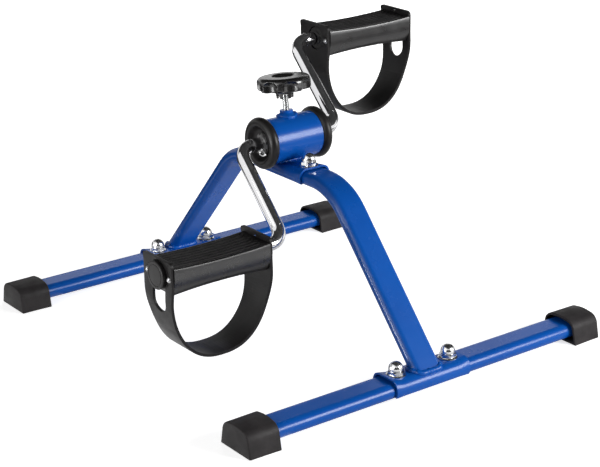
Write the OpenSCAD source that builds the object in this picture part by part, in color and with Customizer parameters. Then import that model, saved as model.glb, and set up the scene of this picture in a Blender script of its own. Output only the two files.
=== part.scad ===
// Pedal exerciser: a bolted tube stand that carries a friction-braked hub,
// a bent-rod crank with two strapped pedals, and a knob that sets the brake.
// X runs along the crank axle, +Z is up, and the origin is on the floor under the hub.

/* [Floor base] */
// Length of each floor bar over its rubber feet
base_length = 400; // [340:5:460]
// Distance between the centre lines of the two floor bars
bar_spacing = 390; // [340:5:440]
// Width of the flat-oval floor bar
bar_w = 30; // [26:1:36]
// Height of the flat-oval floor bar
bar_h = 14; // [12:0.5:16]
// Height of the floor bar's centre above the floor
bar_z = 11; // [10:0.5:14]
// Length of a rubber foot along its bar
foot_length = 31; // [26:1:40]
// Width of a rubber foot where it meets the floor
foot_w = 42; // [40:1:48]
// Height of a rubber foot
foot_h = 25; // [23:1:30]
// Length of the half-shell saddle that joins a leg to its bar
saddle_length = 84; // [78:1:100]
// Wall thickness of the saddles
saddle_t = 2; // [1.5:0.5:2.5]

/* [Arch] */
// Width of the flat-oval arch tube, along the axle
arch_w = 30; // [26:1:34]
// Thickness of the flat-oval arch tube
arch_h = 12.5; // [11:0.5:15]
// Wall thickness of the arch and the floor bars
tube_wall = 1.5; // [1:0.25:2]
// Distance from the middle to the point where a leg lands on its saddle
leg_foot_y = 198; // [190:1:204]
// Distance from the middle to the corner between a leg and the arch top
arch_corner_y = 77; // [70:1:90]
// Radius of the arch bends along the tube's centre line
arch_bend_r = 58; // [40:1:70]
// Length of the saddle that joins the hub to the arch top
hub_saddle_length = 80; // [76:1:90]

/* [Hub] */
// Height of the crank axle above the floor
hub_z = 184.5; // [184:0.5:200]
// Outer diameter of the hub tube
hub_d = 42; // [40:1:46]
// Length of the hub tube between its end caps
hub_length = 51; // [51:1:66]
// Wall thickness of the hub tube
hub_wall = 2.5; // [2:0.25:3]
// Outer diameter of a hub end cap
hub_cap_d = 49; // [48:0.5:54]
// Thickness of a hub end cap outside the tube
hub_cap_t = 10; // [9:0.5:11]

/* [Crank] */
// Diameter of the crank rod
rod_d = 12.7; // [12:0.1:13]
// Distance from the axle to a pedal's axis
crank_r = 100; // [85:1:100]
// Angle of the right-hand crank arm above the horizontal, in degrees
crank_angle = 42.5; // [30:0.5:60]
// Distance from the middle to the inner elbow of a crank
elbow_in_x = 57; // [55:1:64]
// Distance from the middle to the outer elbow of a crank
elbow_out_x = 61; // [56:1:66]
// Radius of the crank elbows along the rod's centre line
elbow_r = 15; // [13:1:18]
// Diameter of the brake drum on the axle
drum_d = 19; // [18:0.5:21]
// Length of the brake drum
drum_length = 28; // [24:1:30]

/* [Pedals] */
// Distance from the middle of the hub to the middle of a pedal
pedal_x = 140.5; // [138:0.5:150]
// Length of a pedal between its straps' end plates
pedal_length = 100; // [90:1:104]
// Width of a pedal
pedal_w = 43; // [40:1:50]
// Height of the ribbed top above the pedal's axis, at its ends
pedal_top = 10.5; // [10:0.5:14]
// Depth of a pedal's lower edge below its axis
pedal_bottom = 16; // [14:0.5:17]
// How far the ribbed top dips in the middle
pedal_dish = 1.8; // [1:0.1:3]
// How far the lower edge rises in the middle
pedal_waist = 2.2; // [1:0.1:3]
// Number of grooves along the ribbed top
groove_count = 7; // [5:1:8]
// Diameter of the round cap over a crank's end
end_cap_d = 26; // [24:0.5:27]

/* [Straps] */
// Thickness of a foot strap
strap_t = 2.7; // [2:0.1:3.5]
// Height of a strap's lip above the pedal's axis
strap_lip = 15; // [14:0.5:18]
// Width of a foot strap at the pedal's end faces
strap_w = 44; // [43:0.5:50]
// Width of a foot strap around its hanging loop
strap_loop_w = 34; // [28:1:40]
// How far the loop bulges past the pedal's end faces
strap_bulge = 2; // [0:0.5:6]
// Depth of the strap loop below the pedal's axis
strap_depth = 83.5; // [70:0.5:83.5]
// Roundness of the strap loop: 2 is an ellipse, more is squarer
strap_power = 2.4; // [2:0.05:3]
// Distance of a strap stud from the pedal's axis
stud_y = 17; // [16.5:0.5:18]

/* [Tension knob] */
// Lean of the tension screw away from the vertical, in degrees
screw_lean = 7; // [0:1:12]
// Diameter of the tension screw
screw_d = 6; // [5:0.5:8]
// Diameter of the knob over its lobes
knob_d = 49; // [44:1:56]
// Height of the knob's lobes
knob_h = 11; // [10:0.5:16]
// Distance from the axle to the underside of the lobes
knob_rise = 46.5; // [44:0.5:52]
// Number of finger scallops around the knob
scallop_count = 7; // [5:1:8]
// Gap between the brake pad and the drum at rest
pad_gap = 1.05; // [1:0.05:1.2]

/* [Fasteners] */
// Thread diameter of the frame bolts
bolt_d = 6; // [5:0.5:6]
// Diameter of a flange washer
washer_d = 16; // [14:0.5:17]
// Thickness of a flange washer
washer_t = 1.5; // [1:0.1:2]
// Width of a dome nut across its flats
nut_flats = 11; // [10:0.5:12]
// Distance from the middle of a bar to each of its bolts
floor_bolt_x = 30; // [28:0.5:32]
// Distance from the middle of the arch to each hub bolt
hub_bolt_y = 31; // [30:0.5:33]

/* [Hidden] */
$fn = 96;
paint_blue = [0.05, 0.25, 0.66];
rubber_black = [0.15, 0.14, 0.15];
plastic_black = [0.18, 0.17, 0.18];
chrome_grey = [0.82, 0.82, 0.84];
zinc_grey = [0.66, 0.67, 0.68];
steel_grey = [0.50, 0.51, 0.53];
nylon_white = [0.90, 0.89, 0.84];
brass_yellow = [0.78, 0.62, 0.28];
felt_brown = [0.42, 0.33, 0.24];

// Small gap that a turning shaft has in its bore, and the reach of a cut past a face
running_gap = 0.05;
past = 1;
// How much slimmer a swept bend is than its straight runs, and how far they reach into it
bend_step = 0.05;
run_overlap = 0.2;

// Floor base
foot_wall = 4;
bar_length = base_length - 2 * foot_wall;
bar_top = bar_z + bar_h / 2;
bar_bottom = bar_z - bar_h / 2;
saddle_top = bar_top + saddle_t;
foot_side_h = 12;
foot_draft = 3;
foot_shoulder_w = foot_w - foot_draft;
foot_arc_h = foot_h - foot_side_h;
foot_arc_r = (pow(foot_shoulder_w / 2, 2) + foot_arc_h * foot_arc_h) / (2 * foot_arc_h);
foot_mouth_gap = 2;
foot_mouth_depth = 4;

// Arch: a planar centre line from one floor saddle to the other
hub_seat = 1;
arch_top_z = hub_z - hub_d / 2 - hub_seat - arch_h / 2;
leg_slope = (arch_top_z - saddle_top) / (leg_foot_y - arch_corner_y);
leg_overrun = 12;
leg_end_y = leg_foot_y + leg_overrun;
leg_end_z = saddle_top - leg_overrun * leg_slope;
arch_path = [
    [-leg_end_y, leg_end_z],
    [-arch_corner_y, arch_top_z],
    [arch_corner_y, arch_top_z],
    [leg_end_y, leg_end_z]
];
hub_saddle_top = arch_top_z + arch_h / 2 + saddle_t;
leg_trim_z = bar_top;
// How far the saddles' sides reach below the middle of their tube
lip_drop = 5;

// Hub and its bearings
hub_bore_d = hub_d - 2 * hub_wall;
bush_d = 18;
bush_flange_d = 21;
plug_depth = 9;
cap_rim_r = hub_cap_t / 2;
cap_rim_steps = 24;
cap_recess_r = 13;
cap_recess_floor = 3;
cap_boss_h = 5;
cap_flange_seat = 0.5;
retainer_t = 1;
retainer_gap = 0.4;
retainer_d = 23;
star_teeth = 6;
star_notch_d = 4;
retainer_x = hub_length / 2 + cap_boss_h + retainer_gap;

// Crank: a planar centre line from the drum to the pedal's outer end
axle_split = 1;
pin_d = 4;
pin_x = 9;
pin_inset = 0.3;
pin_length = drum_d - 2 * pin_inset;
rod_stickout = 4;
rod_end = pedal_length / 2 + rod_stickout;
crank_path = [
    [axle_split, 0],
    [elbow_in_x, 0],
    [elbow_out_x, crank_r],
    [pedal_x + rod_end, crank_r]
];

// Pedals
end_wall = 4;
side_wall = 3;
pedal_bush_d = 17;
pedal_bush_length = 26;
pedal_flange_d = 22;
pedal_flange_t = 1.5;
axle_tube_d = 23;
web_t = 2.5;
web_x = pedal_length / 4;
side_turn_z = -3;
side_taper = 6;
bottom_half_w = pedal_w / 2 - side_taper;
groove_w = 2.2;
groove_depth = 1.5;
groove_margin = 3;
groove_pitch = (pedal_w - 2 * groove_margin) / groove_count;
dish_r = (pow(pedal_length / 2, 2) + pow(pedal_dish, 2)) / (2 * pedal_dish);
waist_r = (pow(pedal_length / 2, 2) + pow(pedal_waist, 2)) / (2 * pedal_waist);
deck_t = 3.5;
push_nut_gap = 0.5;
push_nut_x = pedal_length / 2 + pedal_flange_t + push_nut_gap;
push_nut_d = 19;
end_cap_depth = 6.5;
end_cap_wall = 1.4;

// Straps
strap_steps = 48;
strap_a = pedal_length / 2 + strap_t;
// Heights between which the loop draws out to its full bulge
bulge_top_z = -4;
bulge_full_z = -30;
taper_steps = 12;
taper_top_z = -8;
taper_bottom_z = -54;
window_gap = 1;
window_r = end_cap_d / 2 + window_gap;
window_slot_r = 10;
window_slot_z = -23.3;
rod_hole_r = pedal_flange_d / 2 + window_gap;
stud_d = 4;
stud_head_d = 6.5;
stud_head_h = 2.2;
lip_corner_r = 4;
lip_corner_steps = 6;

// Tension screw, brake shoe and knob, measured along the leaning screw from the axle
boss_d = 12.5;
boss_h = 5.5;
boss_top = hub_d / 2 + boss_h;
weld_d = 18;
weld_h = 3;
spigot_d = 9;
pad_t = 2;
shoe_t = 3;
shoe_length = 20;
shoe_half_angle = 32;
pad_r = drum_d / 2 + pad_gap;
shoe_r = pad_r + pad_t;
shoe_outer_r = shoe_r + shoe_t;
screw_tip_d = 4;
screw_tip_depth = 2;
shoulder_gap = 0.1;
screw_shoulder = shoe_outer_r + shoulder_gap;
knob_collar_d = 16;
knob_collar_h = 8;
collar_wall = 1.8;
collar_slot = 2;
collar_slots = 3;
insert_flats = 10;
insert_h = 5;
scallop_d = 15;
scallop_depth = 4.2;
scallop_spring = 2;
knob_crown_r = 4;
knob_crown_steps = 8;
knob_recess_d = 26;
knob_recess_depth = 0.8;
knob_turn = 200;

// Fasteners
nut_hex_h = 5.5;
nut_dome_d = 9.6;
nut_dome_h = 11;
thread_depth = 8.5;
head_d = 13;
head_h = 2.6;
head_dome_r = (head_d * head_d / 4 + head_h * head_h) / (2 * head_h);
bolt_gap = 0.2;

// Direction of travel from one point of a path to the next, in degrees
function heading(a, b) = atan2(b[1] - a[1], b[0] - a[0]);
// Signed turn at the middle one of three points
function turn(a, b, c) =
    let (t = heading(b, c) - heading(a, b))
    t > 180 ? t - 360 : t < -180 ? t + 360 : t;
// Length that a bend of radius r takes from each of the two runs beside it
function setback(a, b, c, r) = r * tan(abs(turn(a, b, c)) / 2);
// Points along a circular arc
function arc(centre, r, from, to, steps) =
    [for (i = [0:steps]) centre + r * [cos(from + (to - from) * i / steps), sin(from + (to - from) * i / steps)]];
// Smooth step from 0 to 1
function ease(u) = let (v = min(max(u, 0), 1)) v * v * (3 - 2 * v);
// One point of the strap loop's outline, for an angle from 0 at one end to 180 at the other
function loop_point(a, depth, t) =
    let (z = -depth * pow(sin(t), 2 / strap_power),
        reach = a + strap_bulge * ease((bulge_top_z - z) / (bulge_top_z - bulge_full_z)))
    [reach * sign(cos(t)) * pow(abs(cos(t)), 2 / strap_power), z];
// The loop's outline below the flat end plates
function loop_points(a, depth) =
    [for (i = [0:strap_steps]) let (p = loop_point(a, depth, 180 * i / strap_steps)) if (p[1] < bulge_top_z) p];
// Half the strap's width at a given height
function strap_half_w(z) =
    (strap_w + (strap_loop_w - strap_w) * ease((z - taper_top_z) / (taper_bottom_z - taper_top_z))) / 2;

// Flat-oval section: straight sides between two half circles
module flat_oval(w, h) {
    square([w - h, h], center = true);
    for (side = [-1, 1])
        translate([side * (w - h) / 2, 0])
            circle(d = h);
}

// Stands a 2D shape across the X axis, with its x along Y and its y along Z
module across_x(length) {
    rotate([90, 0, 90])
        linear_extrude(length, center = true)
            children();
}

// Sweeps a section along a planar path: the first child along the straight runs and
// the second, a hair smaller, around the bends, which the runs reach into a little
module bent(path, r) {
    count = len(path);
    for (i = [0:count - 2]) {
        a = path[i];
        b = path[i + 1];
        start = i == 0 ? 0 : setback(path[i - 1], a, b, r) - run_overlap;
        stop = i == count - 2 ? 0 : setback(a, b, path[i + 2], r) - run_overlap;
        translate([a[0], a[1], 0])
            rotate([0, 0, heading(a, b)])
                translate([start, 0, 0])
                    rotate([90, 0, 90])
                        linear_extrude(norm(b - a) - start - stop)
                            children(0);
    }
    for (i = [1:count - 2]) {
        a = path[i - 1];
        b = path[i];
        c = path[i + 1];
        swing = turn(a, b, c);
        side = sign(swing);
        way = heading(a, b);
        touch = b - setback(a, b, c, r) * [cos(way), sin(way)];
        centre = touch + side * r * [-sin(way), cos(way)];
        translate([centre[0], centre[1], 0])
            rotate([0, 0, side > 0 ? way - 90 : way + 90 + swing])
                rotate_extrude(angle = abs(swing))
                    translate([r, 0])
                        children(1);
    }
}

// Copies a shape to the left and the right of the middle
module both_x(x) {
    for (side = [-1, 1])
        translate([side * x, 0, 0])
            children();
}

// Copies a shape to the front and the rear bar, or to both sides of the arch top
module both_y(y) {
    for (side = [-1, 1])
        translate([0, side * y, 0])
            children();
}

// Floor base pieces
module floor_bar(side) {
    color(paint_blue)
        translate([0, side * bar_spacing / 2, bar_z])
            difference() {
                across_x(bar_length) flat_oval(bar_w, bar_h);
                across_x(bar_length + past) flat_oval(bar_w - 2 * tube_wall, bar_h - 2 * tube_wall);
                both_x(floor_bolt_x) cylinder(d = bolt_d + bolt_gap, h = 2 * bar_h, center = true);
            }
}

module foot_section() {
    polygon([
        [-foot_w / 2, 0], [foot_w / 2, 0],
        [foot_shoulder_w / 2, foot_side_h], [-foot_shoulder_w / 2, foot_side_h]
    ]);
    intersection() {
        translate([0, foot_h - foot_arc_r]) circle(r = foot_arc_r);
        translate([-foot_w / 2, foot_side_h]) square([foot_w, foot_arc_h]);
    }
}

module foot(side_x, side_y) {
    color(rubber_black)
        translate([side_x * base_length / 2, side_y * bar_spacing / 2, 0])
            difference() {
                translate([-side_x * foot_length / 2, 0, 0])
                    across_x(foot_length) foot_section();
                translate([-side_x * (foot_wall + foot_length / 2), 0, bar_z])
                    across_x(foot_length) flat_oval(bar_w, bar_h);
                translate([-side_x * foot_length, 0, bar_z])
                    across_x(2 * foot_mouth_depth)
                        flat_oval(bar_w + 2 * foot_mouth_gap, bar_h + 2 * foot_mouth_gap);
            }
}

module saddle(side) {
    color(paint_blue)
        translate([0, side * bar_spacing / 2, bar_z])
            difference() {
                across_x(saddle_length) flat_oval(bar_w + 2 * saddle_t, bar_h + 2 * saddle_t);
                across_x(saddle_length + past) flat_oval(bar_w, bar_h);
                translate([0, 0, -bar_h - lip_drop]) cube([2 * saddle_length, 2 * bar_w, 2 * bar_h], center = true);
                both_x(floor_bolt_x) cylinder(d = bolt_d + bolt_gap, h = 2 * bar_h);
            }
}

// Arch and hub
module arch_sweep(inset) {
    rotate([90, 0, 90])
        bent(arch_path, arch_bend_r) {
            arch_section(inset);
            arch_section(inset + bend_step);
        }
}

module arch_section(inset) {
    rotate(90) flat_oval(arch_w - 2 * inset, arch_h - 2 * inset);
}

module arch_tube() {
    color(paint_blue)
        difference() {
            arch_sweep(0);
            arch_sweep(tube_wall);
            both_y(bar_spacing / 2)
                translate([0, 0, bar_z])
                    across_x(2 * arch_w) flat_oval(bar_w + 2 * saddle_t, bar_h + 2 * saddle_t);
            translate([-arch_w, -2 * leg_end_y, -leg_end_y])
                cube([2 * arch_w, 4 * leg_end_y, leg_end_y + leg_trim_z]);
            both_y(hub_bolt_y)
                translate([0, 0, arch_top_z])
                    cylinder(d = bolt_d + bolt_gap, h = 2 * arch_h, center = true);
        }
}

module hub_bar(d, length) {
    translate([0, 0, hub_z])
        rotate([0, 90, 0])
            cylinder(d = d, h = length, center = true);
}

// Stands a shape on the leaning screw's line, with its z measured from the axle
module on_screw() {
    translate([0, 0, hub_z])
        rotate([-screw_lean, 0, 0])
            children();
}

module hub_saddle() {
    color(paint_blue)
        difference() {
            translate([0, 0, arch_top_z])
                rotate([90, 0, 0])
                    linear_extrude(hub_saddle_length, center = true)
                        flat_oval(arch_w + 2 * saddle_t, arch_h + 2 * saddle_t);
            translate([0, 0, arch_top_z])
                rotate([90, 0, 0])
                    linear_extrude(hub_saddle_length + past, center = true)
                        flat_oval(arch_w, arch_h);
            translate([-arch_w, -hub_saddle_length, arch_top_z - lip_drop - arch_h])
                cube([2 * arch_w, 2 * hub_saddle_length, arch_h]);
            both_y(hub_bolt_y)
                translate([0, 0, arch_top_z])
                    cylinder(d = bolt_d + bolt_gap, h = 2 * arch_h);
            hub_bar(hub_d, 2 * hub_length);
        }
}

module hub_tube() {
    color(paint_blue)
        difference() {
            hub_bar(hub_d, hub_length);
            hub_bar(hub_bore_d, hub_length + past);
            on_screw() cylinder(d = spigot_d, h = hub_d);
        }
}

module tension_boss() {
    color(paint_blue)
        difference() {
            union() {
                difference() {
                    on_screw() {
                        cylinder(d = boss_d, h = boss_top);
                        translate([0, 0, hub_d / 2 - weld_h]) cylinder(d = weld_d, h = weld_h);
                        translate([0, 0, hub_d / 2]) cylinder(d1 = weld_d, d2 = boss_d, h = weld_h);
                    }
                    hub_bar(hub_d, 2 * hub_length);
                }
                intersection() {
                    on_screw() cylinder(d = spigot_d, h = boss_top);
                    hub_bar(hub_d, 2 * hub_length);
                }
            }
            hub_bar(hub_bore_d, 2 * hub_length);
            on_screw() cylinder(d = screw_d + 2 * running_gap, h = hub_d);
        }
}

module hub_cap_profile() {
    polygon(concat(
        [[bush_d / 2, -plug_depth], [hub_bore_d / 2, -plug_depth], [hub_bore_d / 2, 0]],
        arc([hub_cap_d / 2 - cap_rim_r, cap_rim_r], cap_rim_r, -90, 180, cap_rim_steps),
        [
            [cap_recess_r, cap_recess_floor], [bush_flange_d / 2, cap_recess_floor],
            [bush_flange_d / 2, cap_recess_floor + cap_flange_seat], [bush_d / 2, cap_recess_floor + cap_flange_seat]
        ]
    ));
}

// Stands a turned shape on the end of the hub tube, with its z pointing outwards
module on_hub_end(side) {
    translate([side * hub_length / 2, 0, hub_z])
        rotate([0, side * 90, 0])
            children();
}

module hub_cap(side) {
    color(plastic_black)
        on_hub_end(side)
            rotate_extrude() hub_cap_profile();
}

module hub_bush(side) {
    color(nylon_white)
        on_hub_end(side)
            difference() {
                union() {
                    translate([0, 0, -plug_depth]) cylinder(d = bush_d, h = plug_depth + cap_boss_h);
                    translate([0, 0, cap_recess_floor + cap_flange_seat])
                        cylinder(d = bush_flange_d, h = cap_boss_h - cap_recess_floor - cap_flange_seat);
                }
                cylinder(d = rod_d + 2 * running_gap, h = 4 * plug_depth, center = true);
            }
}

// Fasteners
module carriage_bolt(reach) {
    cylinder(d = bolt_d, h = reach);
    mirror([0, 0, 1])
        intersection() {
            cylinder(d = head_d, h = head_h);
            translate([0, 0, head_h - head_dome_r]) sphere(r = head_dome_r);
        }
}

module flange_washer() {
    difference() {
        cylinder(d = washer_d, h = washer_t);
        cylinder(d = bolt_d + bolt_gap, h = 3 * washer_t, center = true);
    }
}

module dome_nut() {
    difference() {
        union() {
            cylinder(d = nut_flats / cos(30), h = nut_hex_h, $fn = 6);
            translate([0, 0, nut_dome_h - nut_dome_d / 2]) sphere(d = nut_dome_d);
            cylinder(d = nut_dome_d, h = nut_dome_h - nut_dome_d / 2);
        }
        cylinder(d = bolt_d, h = 2 * thread_depth, center = true);
    }
}

// The four bolt places on the floor bars, at a given height
module at_floor_bolts(z) {
    translate([0, 0, z])
        both_y(bar_spacing / 2) both_x(floor_bolt_x) children();
}

// The two bolt places beside the hub, at a given height
module at_hub_bolts(z) {
    translate([0, 0, z])
        both_y(hub_bolt_y) children();
}

module floor_bolts() {
    color(zinc_grey) at_floor_bolts(bar_bottom) carriage_bolt(bar_h + saddle_t + washer_t + thread_depth);
}

module floor_washers() {
    color(chrome_grey) at_floor_bolts(saddle_top) flange_washer();
}

module floor_nuts() {
    color(chrome_grey) at_floor_bolts(saddle_top + washer_t) dome_nut();
}

module hub_bolts() {
    color(zinc_grey)
        at_hub_bolts(arch_top_z - arch_h / 2) carriage_bolt(arch_h + saddle_t + washer_t + thread_depth);
}

module hub_washers() {
    color(chrome_grey) at_hub_bolts(hub_saddle_top) flange_washer();
}

module hub_nuts() {
    color(chrome_grey) at_hub_bolts(hub_saddle_top + washer_t) dome_nut();
}

// Crank and brake drum
// Turns a shape about the axle to the crank of one side, and mirrors it for the left
module on_crank(side) {
    translate([0, 0, hub_z])
        mirror([side < 0 ? 1 : 0, 0, 0])
            rotate([side < 0 ? crank_angle + 180 : crank_angle, 0, 0])
                children();
}

module cross_pins(d, length) {
    translate([0, 0, hub_z])
        rotate([crank_angle, 0, 0])
            both_x(pin_x) cylinder(d = d, h = length, center = true);
}

module crank(side) {
    color(chrome_grey)
        difference() {
            on_crank(side)
                bent(crank_path, elbow_r) {
                    circle(d = rod_d);
                    circle(d = rod_d - 2 * bend_step);
                }
            cross_pins(pin_d, 2 * drum_d);
        }
}

module brake_drum() {
    color(steel_grey)
        difference() {
            hub_bar(drum_d, drum_length);
            hub_bar(rod_d, drum_length + past);
            cross_pins(pin_d, 2 * drum_d);
        }
}

module drum_pins() {
    color(zinc_grey) cross_pins(pin_d, pin_length);
}

// Push-on star washer that grips the rod, with its z pointing outwards
module star_washer(d) {
    difference() {
        cylinder(d = d, h = retainer_t);
        cylinder(d = rod_d, h = 3 * retainer_t, center = true);
        for (i = [0:star_teeth - 1])
            rotate(i * 360 / star_teeth)
                translate([d / 2, 0, 0])
                    cylinder(d = star_notch_d, h = 3 * retainer_t, center = true);
    }
}

module axle_retainer(side) {
    color(chrome_grey)
        translate([side * (retainer_x - hub_length / 2), 0, 0])
            on_hub_end(side) star_washer(retainer_d);
}

module pedal_retainer(side) {
    color(zinc_grey)
        on_pedal(side)
            translate([push_nut_x, 0, 0])
                rotate([0, 90, 0]) star_washer(push_nut_d);
}

// Pedals and straps
// Moves a right-hand pedal shape from its own axis to its crank, and mirrors it for the left
module on_pedal(side) {
    translate([side * pedal_x, side * crank_r * cos(crank_angle), hub_z + side * crank_r * sin(crank_angle)])
        mirror([side < 0 ? 1 : 0, 0, 0])
            children();
}

module pedal_section(inset, top) {
    polygon([
        [-pedal_w / 2 + inset, top], [-pedal_w / 2 + inset, side_turn_z],
        [-bottom_half_w + inset, -pedal_bottom], [bottom_half_w - inset, -pedal_bottom],
        [pedal_w / 2 - inset, side_turn_z], [pedal_w / 2 - inset, top]
    ]);
}

// A wide disc across the pedal, used to dish its top and to raise its lower edge
module cross_disc(r, z, width) {
    translate([0, 0, z])
        rotate([90, 0, 0])
            cylinder(r = r, h = width, center = true, $fn = 360);
}

module pedal_cavity() {
    difference() {
        across_x(pedal_length - 2 * end_wall)
            difference() {
                translate([0, -past]) pedal_section(side_wall, pedal_top - pedal_dish - deck_t + past);
                circle(d = axle_tube_d);
            }
        for (i = [-1:1])
            translate([i * web_x, 0, 0]) cube([web_t, 2 * pedal_w, 2 * pedal_w], center = true);
    }
}

// The four places of the strap studs on a pedal's end faces, with z pointing outwards
module at_studs() {
    for (end = [-1, 1])
        for (side = [-1, 1])
            translate([end * pedal_length / 2, side * stud_y, 0])
                rotate([0, end * 90, 0])
                    children();
}

module pedal(side) {
    color(plastic_black)
        on_pedal(side)
            difference() {
                across_x(pedal_length) pedal_section(0, pedal_top);
                cross_disc(dish_r, pedal_top - pedal_dish + dish_r, 2 * pedal_w);
                cross_disc(waist_r, pedal_waist - pedal_bottom - waist_r, 2 * pedal_w);
                for (i = [0:groove_count - 1])
                    translate([0, (i - (groove_count - 1) / 2) * groove_pitch, 0])
                        cross_disc(dish_r + groove_depth, pedal_top - pedal_dish + dish_r, groove_w);
                pedal_cavity();
                rotate([0, 90, 0]) cylinder(d = pedal_bush_d, h = 2 * pedal_length, center = true);
                at_studs() cylinder(d = stud_d, h = 2 * end_wall, center = true);
            }
}

module pedal_bushes(side) {
    color(nylon_white)
        on_pedal(side)
            for (end = [-1, 1])
                translate([end * pedal_length / 2, 0, 0])
                    rotate([0, end * 90, 0])
                        difference() {
                            union() {
                                translate([0, 0, -pedal_bush_length])
                                    cylinder(d = pedal_bush_d, h = pedal_bush_length);
                                cylinder(d = pedal_flange_d, h = pedal_flange_t);
                            }
                            cylinder(d = rod_d + 2 * running_gap, h = 3 * pedal_bush_length, center = true);
                        }
}

module pedal_cap(side) {
    color(plastic_black)
        on_pedal(side)
            translate([pedal_length / 2, 0, 0])
                rotate([0, 90, 0])
                    rotate_extrude()
                        difference() {
                            square([end_cap_d / 2, end_cap_depth]);
                            translate([-past, -past])
                                square([end_cap_d / 2 - end_cap_wall + past, end_cap_depth - end_cap_wall + past]);
                        }
}

// Outline of the strap loop seen along Y: two upright ends joined by a hanging loop
module strap_loop() {
    inner_a = strap_a - strap_t;
    inner_loop = loop_points(inner_a, strap_depth - strap_t);
    last = len(inner_loop) - 1;
    polygon(concat(
        [[strap_a, strap_lip], [strap_a, bulge_top_z]],
        loop_points(strap_a, strap_depth),
        [[-strap_a, bulge_top_z], [-strap_a, strap_lip], [-inner_a, strap_lip], [-inner_a, bulge_top_z]],
        [for (i = [last:-1:0]) inner_loop[i]],
        [[inner_a, bulge_top_z], [inner_a, strap_lip]]
    ));
}

// Outline of the strap seen along X: rounded top corners, and sides that draw in towards the loop
module strap_front() {
    heights = [for (i = [0:taper_steps]) taper_top_z + (taper_bottom_z - taper_top_z) * i / taper_steps];
    corner = [strap_w / 2 - lip_corner_r, strap_lip - lip_corner_r];
    right_edge = concat(
        arc(corner, lip_corner_r, 90, 0, lip_corner_steps),
        [for (z = heights) [strap_half_w(z), z]],
        [[strap_loop_w / 2, -strap_depth - past]]
    );
    last = len(right_edge) - 1;
    left_edge = [for (i = [last:-1:0]) [-right_edge[i][0], right_edge[i][1]]];
    polygon(concat(right_edge, left_edge));
}

// Window around the crank's end, in the strap's outer end: a round hole with a round-ended slot below it
module strap_window() {
    circle(r = window_r);
    translate([0, window_slot_z]) circle(r = window_slot_r);
    translate([-window_slot_r, window_slot_z]) square([2 * window_slot_r, -window_slot_z]);
}

module strap(side) {
    color(rubber_black)
        on_pedal(side)
            difference() {
                intersection() {
                    rotate([90, 0, 0])
                        linear_extrude(2 * strap_w, center = true) strap_loop();
                    across_x(3 * strap_a) strap_front();
                }
                translate([strap_a, 0, 0]) across_x(strap_a) strap_window();
                translate([-strap_a, 0, 0]) across_x(strap_a) circle(r = rod_hole_r);
                at_studs() cylinder(d = stud_d, h = 4 * strap_t, center = true);
            }
}

module strap_studs(side) {
    color(zinc_grey)
        on_pedal(side)
            at_studs() {
                translate([0, 0, -end_wall]) cylinder(d = stud_d, h = end_wall + strap_t);
                translate([0, 0, strap_t])
                    intersection() {
                        cylinder(d = stud_head_d, h = stud_head_h);
                        translate([0, 0, stud_head_h - stud_head_d / 2]) sphere(d = stud_head_d);
                    }
            }
}

// Tension screw, brake and knob
// A slice of a ring about the axle, centred on the screw's line
module ring_slice(r, thickness, length) {
    rotate([0, -90, 0])
        rotate([0, 0, -shoe_half_angle])
            rotate_extrude(angle = 2 * shoe_half_angle)
                translate([r, -length / 2])
                    square([thickness, length]);
}

module brake_shoe() {
    color(steel_grey)
        on_screw()
            difference() {
                ring_slice(shoe_r, shoe_t, shoe_length);
                translate([0, 0, shoe_outer_r - screw_tip_depth])
                    cylinder(d = screw_tip_d + 2 * running_gap, h = shoe_t);
            }
}

module brake_pad() {
    color(felt_brown) on_screw() ring_slice(pad_r, pad_t, shoe_length);
}

module tension_screw() {
    color(chrome_grey)
        on_screw() {
            translate([0, 0, screw_shoulder - screw_tip_depth])
                cylinder(d = screw_tip_d, h = screw_tip_depth);
            translate([0, 0, screw_shoulder])
                cylinder(d = screw_d, h = knob_rise + insert_h - screw_shoulder);
        }
}

module knob_profile() {
    polygon(concat(
        [[0, 0], [knob_d / 2, 0]],
        arc([knob_d / 2 - knob_crown_r, knob_h - knob_crown_r], knob_crown_r, 0, 90, knob_crown_steps),
        [[knob_recess_d / 2, knob_h], [knob_recess_d / 2 - knob_recess_depth, knob_h - knob_recess_depth],
            [0, knob_h - knob_recess_depth]]
    ));
}

module knob_skirt() {
    difference() {
        cylinder(d = knob_collar_d, h = knob_collar_h);
        translate([0, 0, -past]) cylinder(d = knob_collar_d - 2 * collar_wall, h = knob_collar_h + past);
        for (i = [0:collar_slots - 1])
            rotate(i * 180 / collar_slots) cube([2 * knob_collar_d, collar_slot, 2 * collar_slot], center = true);
    }
}

module knob() {
    color(plastic_black)
        on_screw()
            difference() {
                union() {
                    translate([0, 0, knob_rise]) rotate_extrude() knob_profile();
                    translate([0, 0, knob_rise - knob_collar_h]) knob_skirt();
                }
                for (i = [0:scallop_count - 1])
                    rotate(knob_turn + i * 360 / scallop_count)
                        translate([knob_d / 2 + scallop_d / 2 - scallop_depth, 0, knob_rise]) {
                            translate([0, 0, scallop_spring]) sphere(d = scallop_d);
                            translate([0, 0, -past]) cylinder(d = scallop_d, h = scallop_spring + past);
                        }
                translate([0, 0, knob_rise]) hex_bar(insert_flats, 2 * insert_h);
            }
}

module hex_bar(flats, height) {
    cylinder(d = flats / cos(30), h = height, center = true, $fn = 6);
}

module knob_insert() {
    color(brass_yellow)
        on_screw()
            translate([0, 0, knob_rise])
                difference() {
                    translate([0, 0, insert_h / 2]) hex_bar(insert_flats, insert_h);
                    cylinder(d = screw_d, h = 3 * insert_h, center = true);
                }
}

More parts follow.
